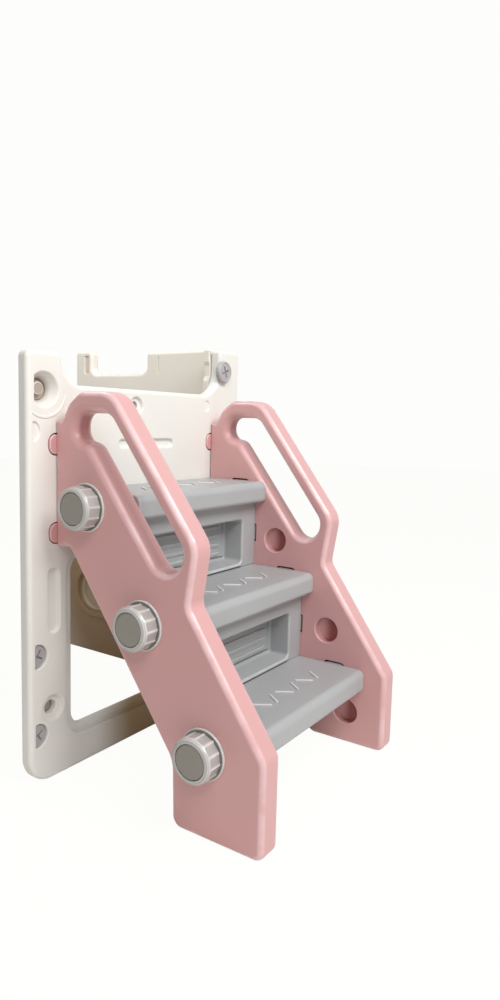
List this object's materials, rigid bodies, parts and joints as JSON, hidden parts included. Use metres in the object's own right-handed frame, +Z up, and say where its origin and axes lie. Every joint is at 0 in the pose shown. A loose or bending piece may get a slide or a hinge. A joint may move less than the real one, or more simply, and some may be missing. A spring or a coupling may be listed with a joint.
{
  "type": "kids slide climbing step unit",
  "caption": "Climbing steps of a toddler slide: gray treads between pink side panels with slanted hand slots, screw knobs, a cream end panel and a cream side wall.",
  "frame": {"origin": "middle of the footprint on the floor", "axes": "+Z up, +Y away from the climber (front to rear of the unit), +X to the climber's right"},
  "size_m": [0.56, 0.9104, 0.763],
  "materials": {
    "pink_plastic": "satin blow-moulded polyethylene",
    "step_plastic": "satin blow-moulded polyethylene",
    "cream_plastic": "satin blow-moulded polyethylene",
    "knob_plastic": "satin injection-moulded",
    "cap_plastic": "fine matt injection-moulded",
    "screw_plastic": "satin injection-moulded",
    "stud_plastic": "satin injection-moulded"
  },
  "bodies": {
    "frame": {"step_low": "step_plastic", "step_middle": "step_plastic", "step_top": "step_plastic", "end_panel": "cream_plastic", "side_wall": "cream_plastic", "gate_screw": "screw_plastic", "side_panel_left": "pink_plastic", "pocket_screw_left_low": "screw_plastic", "pocket_screw_left_middle": "screw_plastic", "stud_left_low": "stud_plastic", "stud_left_middle": "stud_plastic", "stud_left_top": "stud_plastic", "side_panel_right": "pink_plastic", "pocket_screw_right_low": "screw_plastic", "pocket_screw_right_middle": "screw_plastic", "stud_right_low": "stud_plastic", "stud_right_middle": "stud_plastic", "stud_right_top": "stud_plastic"},
    "washer_left_low": {"washer_left_low": "knob_plastic"},
    "knob_left_low": {"knob_left_low": "knob_plastic", "cap_left_low": "cap_plastic"},
    "washer_left_middle": {"washer_left_middle": "knob_plastic"},
    "knob_left_middle": {"knob_left_middle": "knob_plastic", "cap_left_middle": "cap_plastic"},
    "washer_left_top": {"washer_left_top": "knob_plastic"},
    "knob_left_top": {"knob_left_top": "knob_plastic", "cap_left_top": "cap_plastic"},
    "washer_right_low": {"washer_right_low": "knob_plastic"},
    "knob_right_low": {"knob_right_low": "knob_plastic", "cap_right_low": "cap_plastic"},
    "washer_right_middle": {"washer_right_middle": "knob_plastic"},
    "knob_right_middle": {"knob_right_middle": "knob_plastic", "cap_right_middle": "cap_plastic"},
    "washer_right_top": {"washer_right_top": "knob_plastic"},
    "knob_right_top": {"knob_right_top": "knob_plastic", "cap_right_top": "cap_plastic"}
  },
  "joints": [
    {"name": "knob_travel_left_low", "type": "slide", "parent": "frame", "child": "washer_left_low", "axis": [-1, 0, 0], "range_m": [0, 0.018]},
    {"name": "knob_turn_left_low", "type": "hinge", "parent": "washer_left_low", "child": "knob_left_low", "pos_m": [-0.225, -0.3524, 0.13], "axis": [-1, 0, 0], "range_deg": [0, 1080]},
    {"name": "knob_travel_left_middle", "type": "slide", "parent": "frame", "child": "washer_left_middle", "axis": [-1, 0, 0], "range_m": [0, 0.018]},
    {"name": "knob_turn_left_middle", "type": "hinge", "parent": "washer_left_middle", "child": "knob_left_middle", "pos_m": [-0.225, -0.2344, 0.296], "axis": [-1, 0, 0], "range_deg": [0, 1080]},
    {"name": "knob_travel_left_top", "type": "slide", "parent": "frame", "child": "washer_left_top", "axis": [-1, 0, 0], "range_m": [0, 0.018]},
    {"name": "knob_turn_left_top", "type": "hinge", "parent": "washer_left_top", "child": "knob_left_top", "pos_m": [-0.225, -0.1164, 0.462], "axis": [-1, 0, 0], "range_deg": [0, 1080]},
    {"name": "knob_travel_right_low", "type": "slide", "parent": "frame", "child": "washer_right_low", "axis": [1, 0, 0], "range_m": [0, 0.018]},
    {"name": "knob_turn_right_low", "type": "hinge", "parent": "washer_right_low", "child": "knob_right_low", "pos_m": [0.225, -0.3524, 0.13], "axis": [1, 0, 0], "range_deg": [0, 1080]},
    {"name": "knob_travel_right_middle", "type": "slide", "parent": "frame", "child": "washer_right_middle", "axis": [1, 0, 0], "range_m": [0, 0.018]},
    {"name": "knob_turn_right_middle", "type": "hinge", "parent": "washer_right_middle", "child": "knob_right_middle", "pos_m": [0.225, -0.2344, 0.296], "axis": [1, 0, 0], "range_deg": [0, 1080]},
    {"name": "knob_travel_right_top", "type": "slide", "parent": "frame", "child": "washer_right_top", "axis": [1, 0, 0], "range_m": [0, 0.018]},
    {"name": "knob_turn_right_top", "type": "hinge", "parent": "washer_right_top", "child": "knob_right_top", "pos_m": [0.225, -0.1164, 0.462], "axis": [1, 0, 0], "range_deg": [0, 1080]}
  ],
  "couplings": [
    {"joint": "knob_travel_left_low", "follows": "knob_turn_left_low", "m_per_rad": 0.00095493},
    {"joint": "knob_travel_left_middle", "follows": "knob_turn_left_middle", "m_per_rad": 0.00095493},
    {"joint": "knob_travel_left_top", "follows": "knob_turn_left_top", "m_per_rad": 0.00095493},
    {"joint": "knob_travel_right_low", "follows": "knob_turn_right_low", "m_per_rad": 0.00095493},
    {"joint": "knob_travel_right_middle", "follows": "knob_turn_right_middle", "m_per_rad": 0.00095493},
    {"joint": "knob_travel_right_top", "follows": "knob_turn_right_top", "m_per_rad": 0.00095493}
  ]
}
